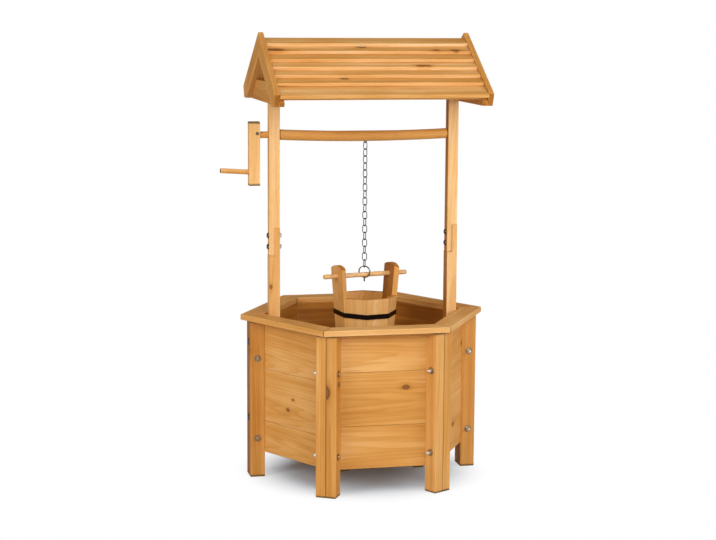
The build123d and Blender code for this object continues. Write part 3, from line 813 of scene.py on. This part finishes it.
ring_steel = plated("ring_steel", (0.30, 0.27, 0.23, 1.0), 0.16, (0.10, 0.08, 0.06, 1.0))
ring_wire = 0.0013
ring_r = 0.01485
ring_turn = radians(58.0)
ring_drop = 0.01535  # from the top of the modelled ring down to the centre of this one
ring_centre = np.array((chain_x, 0.0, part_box("bucket_ring")[1].z - ring_drop))
coil_pitch = 0.0026
coil_samples = 145
coil_wire_sides = 14
pin_sides = 20
ring_axis = np.array((cos(ring_turn), sin(ring_turn), 0.0))
ring_flat = np.array((-sin(ring_turn), cos(ring_turn), 0.0))


def split_ring():
    """Two turns of a helix: centre + ring_r * (cos t, sin t) across the axis + pitch * t / 2 pi along it.

    The turns lie evenly about the centre at the top, where they hang in the link.
    """
    t = np.linspace(0.0, 4 * pi, coil_samples)
    outward = np.cos(t)[:, None] * ring_flat + np.sin(t)[:, None] * np.array((0.0, 0.0, 1.0))
    along = ((t / (2 * pi) - 0.75) * coil_pitch)[:, None] * ring_axis
    path = ring_centre + ring_r * outward + along
    sideways = np.broadcast_to(ring_axis, outward.shape)
    return swept_wire(path, outward, sideways, ring_wire, coil_wire_sides)


def stem():
    """A turned pin under the ring: a radius for each height, from the neck to the rivet head."""
    heights = np.array((0.0012, 0.0000, -0.0010, -0.0022, -0.0072, -0.0080, -0.0092, -0.0099, -0.0100))
    radii = np.array((0.0012, 0.0018, 0.0020, 0.0019, 0.0019, 0.0020, 0.0020, 0.0017, 0.0010))
    p = np.linspace(0.0, 2 * pi, pin_sides, endpoint=False)
    x = radii[:, None] * np.cos(p)
    y = radii[:, None] * np.sin(p)
    z = np.broadcast_to(heights[:, None], x.shape) - ring_r
    return ring_centre + np.stack((x, y, z), axis=-1)[::-1]


coil = split_ring()
pin = stem()
coil_end = coil_samples * coil_wire_sides
pin_end = coil_end + len(pin) * pin_sides
coil_faces = grid_faces(coil_samples, coil_wire_sides, False)
pin_faces = grid_faces(len(pin), pin_sides, False, coil_end)
caps = [
    list(range(coil_wire_sides))[::-1],
    list(range(coil_end - coil_wire_sides, coil_end)),
    list(range(coil_end, coil_end + pin_sides))[::-1],
    list(range(pin_end - pin_sides, pin_end)),
]
ring_points = np.concatenate((coil.reshape(-1, 3), pin.reshape(-1, 3)))
ring_faces = [list(face) for face in np.concatenate((coil_faces, pin_faces))] + caps
bucket_ring = new_piece("split_ring", ring_points, ring_faces, ring_steel, "ring")
of_pin = np.array([min(face) >= coil_end for face in ring_faces], dtype=np.int32)
bucket_ring.data.materials.append(chain_steel)
bucket_ring.data.polygons.foreach_set("material_index", of_pin)
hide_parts("bucket_ring")


# ---- Bucket ----
# Eight tapered staves of fir round a bottom board, two of them carried up as ears. Two flat iron hoops
# painted black hold them, and a round dowel through the ears hangs in the ring.

bucket_along, bucket_across = around(13.0)
bucket_shift = 0.0025
bucket_axis = Vector((chain_x, 0.0, 0.0)) + bucket_along * bucket_shift
rim_half_width = 0.0767
foot_half_width = 0.0660
stave_thickness = 0.013
stave_low, stave_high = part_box("bucket_staves")
stave_middle = (stave_low.z + stave_high.z) / 2
stave_half = (stave_high.z - stave_low.z) / 2
mean_half_width = (rim_half_width + foot_half_width) / 2
taper = (rim_half_width - foot_half_width) / (2 * stave_half)
eighth = pi / 4
ear_overlap = 0.002
joint_in_staves = 0.0008  # how far in from the staves' edges their shadowed joint begins
stave_tones = (0.34, 0.30, 0.36, 0.27, 0.44, 0.34, 0.40, 0.30)


def stave_layout(finish, x, y, z):
    """The staves round the bucket, each an eighth of a turn wide.

    A stave's number is its angle from the right ear / an eighth of a turn, rounded, plus 3.
    """
    angle = finish.node("Math", {"operation": "ARCTAN2"}, {0: z, 1: y})
    number = (angle / eighth + 0.5).floor()
    turn = number * eighth
    tangential = z * turn.maths("COSINE", turn) - y * turn.maths("SINE", turn)
    half_width = (mean_half_width + x * taper) * tan(eighth / 2)
    to_joint = half_width - abs(tangential) + joint_in_staves
    return number + 3.0, tangential, stave_half, half_width, to_joint


def bucket_wood(node, along, across, half, seed, tones, middle=None, **more):
    """Dresses a piece of the bucket in fir, about the middle of its box or another point."""
    if middle is None:
        low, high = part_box(node)
        middle = (low + high) / 2
    dress(node, fir(f"{node}_fir", along, across, middle, half, seed, tones, **more))


mean_stave_half = mean_half_width * tan(eighth / 2)
stave_depth = 0.2  # deeper than the bucket, which leaves only the staves' corners paler, with wear and a painted highlight
stave_block = (stave_half, mean_stave_half, stave_depth)
centre = bucket_axis + up * stave_middle
bucket_wood("bucket_staves", up, bucket_along, stave_block, 91, stave_tones, centre, layout=stave_layout)
for index, (side, sign) in enumerate((("right", 1), ("left", -1))):
    ear = f"bucket_ear_{side}"
    low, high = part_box(ear)
    half = ((high.z - low.z) / 2, mean_stave_half + ear_overlap, stave_thickness / 2)
    from_axis = sign * (mean_half_width - stave_thickness / 2)
    middle = bucket_axis + bucket_along * from_axis + up * (low.z + high.z) / 2
    heart = (tuple(-bucket_along), 0.44) if sign > 0 else None
    bucket_wood(ear, up, bucket_across, half, 93 + index, (0.50 - 0.06 * index,), middle, heart=heart)
bottom_half = (0.06, 0.06, 0.005)
dowel_half = (0.118, 0.006, 0.006)
bucket_wood("bucket_bottom", bucket_along, bucket_across, bottom_half, 95, (0.52,))
bucket_wood("bucket_dowel", bucket_along, bucket_across, dowel_half, 96, (0.26,))


def black_paint(name):
    """Black paint on strip iron, a little thin and brown along scratches."""
    paint = Finish(bpy.data.materials.new(name))
    x, y, z = paint.parts(paint.place())
    orange_peel = paint.noise(x * 420.0, y * 420.0, z * 420.0, 2.0)
    scratch = paint.rise(0.66, 0.72, paint.noise(x * 70.0, y * 70.0, z * 620.0, 2.0))
    colour = paint.mix((0.0035, 0.0020, 0.0016, 1.0), (0.018, 0.009, 0.006, 1.0), scratch * 0.6)
    return paint.surface(
        Base_Color=colour,
        Roughness=orange_peel * 0.12 + scratch * 0.15 + 0.26,
        Specular_IOR_Level=0.30,
        Normal=paint.bump(orange_peel, 0.15, 0.0003),
    )


black = black_paint("black_paint")
dress("bucket_hoop_lower", black)
dress("bucket_hoop_upper", black)


# ---- Ground, light and camera ----
# The planter stands on a wide white floor, lit by soft boxes in front, at both sides, overhead and
# behind. Away from its shadow the floor is plain white to the camera, as far as the horizon.

ground_r = 14.0
shadow_start = 0.17
shadow_end = 0.34
spoke_count = 64
spokes = np.linspace(0.0, 2 * pi, spoke_count, endpoint=False)
level = np.zeros(spoke_count)
ground_points = np.stack((ground_r * np.cos(spokes), ground_r * np.sin(spokes), level), axis=-1)
ground_mesh = bpy.data.meshes.new("ground")
ground_mesh.from_pydata(ground_points.tolist(), [], [list(range(spoke_count))])
ground = bpy.data.objects.new("ground", ground_mesh)
bpy.context.scene.collection.objects.link(ground)

paper = Finish(bpy.data.materials.new("white_ground"))
x, y, z = paper.parts(paper.place())
clear = paper.rise(shadow_start, shadow_end, paper.length(x, y))
rays = paper.node("LightPath").socket.node.outputs
seen = Varying(paper, rays["Is Camera Ray"])
shaded = paper.node("BsdfDiffuse", {}, {"Color": (0.81, 0.91, 1.0, 1.0)})
plain = paper.node("BsdfDiffuse", {}, {"Color": (0.66, 0.66, 0.66, 1.0)})
bright = paper.node("Emission", {}, {"Color": (1.0, 1.0, 1.0, 1.0), "Strength": 1.0})
lit = paper.node("MixShader", {}, {0: clear, 1: shaded, 2: bright})
paper.node("OutputMaterial", {}, {"Surface": paper.node("MixShader", {}, {0: seen, 1: plain, 2: lit})})
ground_mesh.materials.append(paper.owner)

studio = Finish(bpy.data.worlds.new("studio"))
bpy.context.scene.world = studio.owner
rays = studio.node("LightPath").socket.node.outputs
reflected = Varying(studio, rays["Is Glossy Ray"])
seen = Varying(studio, rays["Is Camera Ray"])
ambient = studio.mix((0.33, 0.33, 0.34, 1.0), (0.06, 0.05, 0.04, 1.0), reflected)
sky = studio.mix(ambient, (1.0, 1.0, 1.0, 1.0), seen)
studio.node("OutputWorld", {}, {"Surface": studio.node("Background", {}, {"Color": sky, "Strength": 1.0})})

lit_middle = Vector((0.0, 0.0, 0.55))
box_width = 1.8


def soft_box(name, place, watts):
    """A square white lamp that faces the middle of the planter."""
    light = bpy.data.lights.new(name, "AREA")
    light.shape = "SQUARE"
    light.size = box_width
    light.energy = watts
    lamp = bpy.data.objects.new(name, light)
    lamp.location = place
    lamp.rotation_euler = (lit_middle - Vector(place)).to_track_quat("-Z", "Y").to_euler()
    bpy.context.scene.collection.objects.link(lamp)
    return lamp


soft_box("front_box", (0.4, -3.9, 1.95), 61.0)
soft_box("left_box", (-3.3, -2.0, 1.75), 66.0)
soft_box("right_box", (3.2, -2.4, 1.85), 56.0)
soft_box("top_box", (0.0, -0.4, 5.0), 12.0)
# the box behind lights the back and the floor, and has no reflection on the rim
back_box = soft_box("back_box", (-0.6, 3.7, 1.9), 28.0)
back_box.visible_glossy = False

camera_azimuth = radians(-12.71)
camera_elevation = radians(8.53)
camera_distance = 4.6045
camera_target = Vector((-0.0129, 0.0, 0.5281))
camera_roll = radians(0.39)
flat_share = cos(camera_elevation)
back = Vector((sin(camera_azimuth) * flat_share, -cos(camera_azimuth) * flat_share, sin(camera_elevation)))
camera_data = bpy.data.cameras.new("view")
camera_data.lens = 89.68
camera_data.sensor_width = 36.0
camera = bpy.data.objects.new("view", camera_data)
camera.location = camera_target + back * camera_distance
camera.rotation_mode = "QUATERNION"
camera.rotation_quaternion = (-back).to_track_quat("-Z", "Y") @ Quaternion((0.0, 0.0, 1.0), camera_roll)
bpy.context.scene.collection.objects.link(camera)
bpy.context.scene.camera = camera
bpy.context.scene.view_settings.view_transform = "Standard"
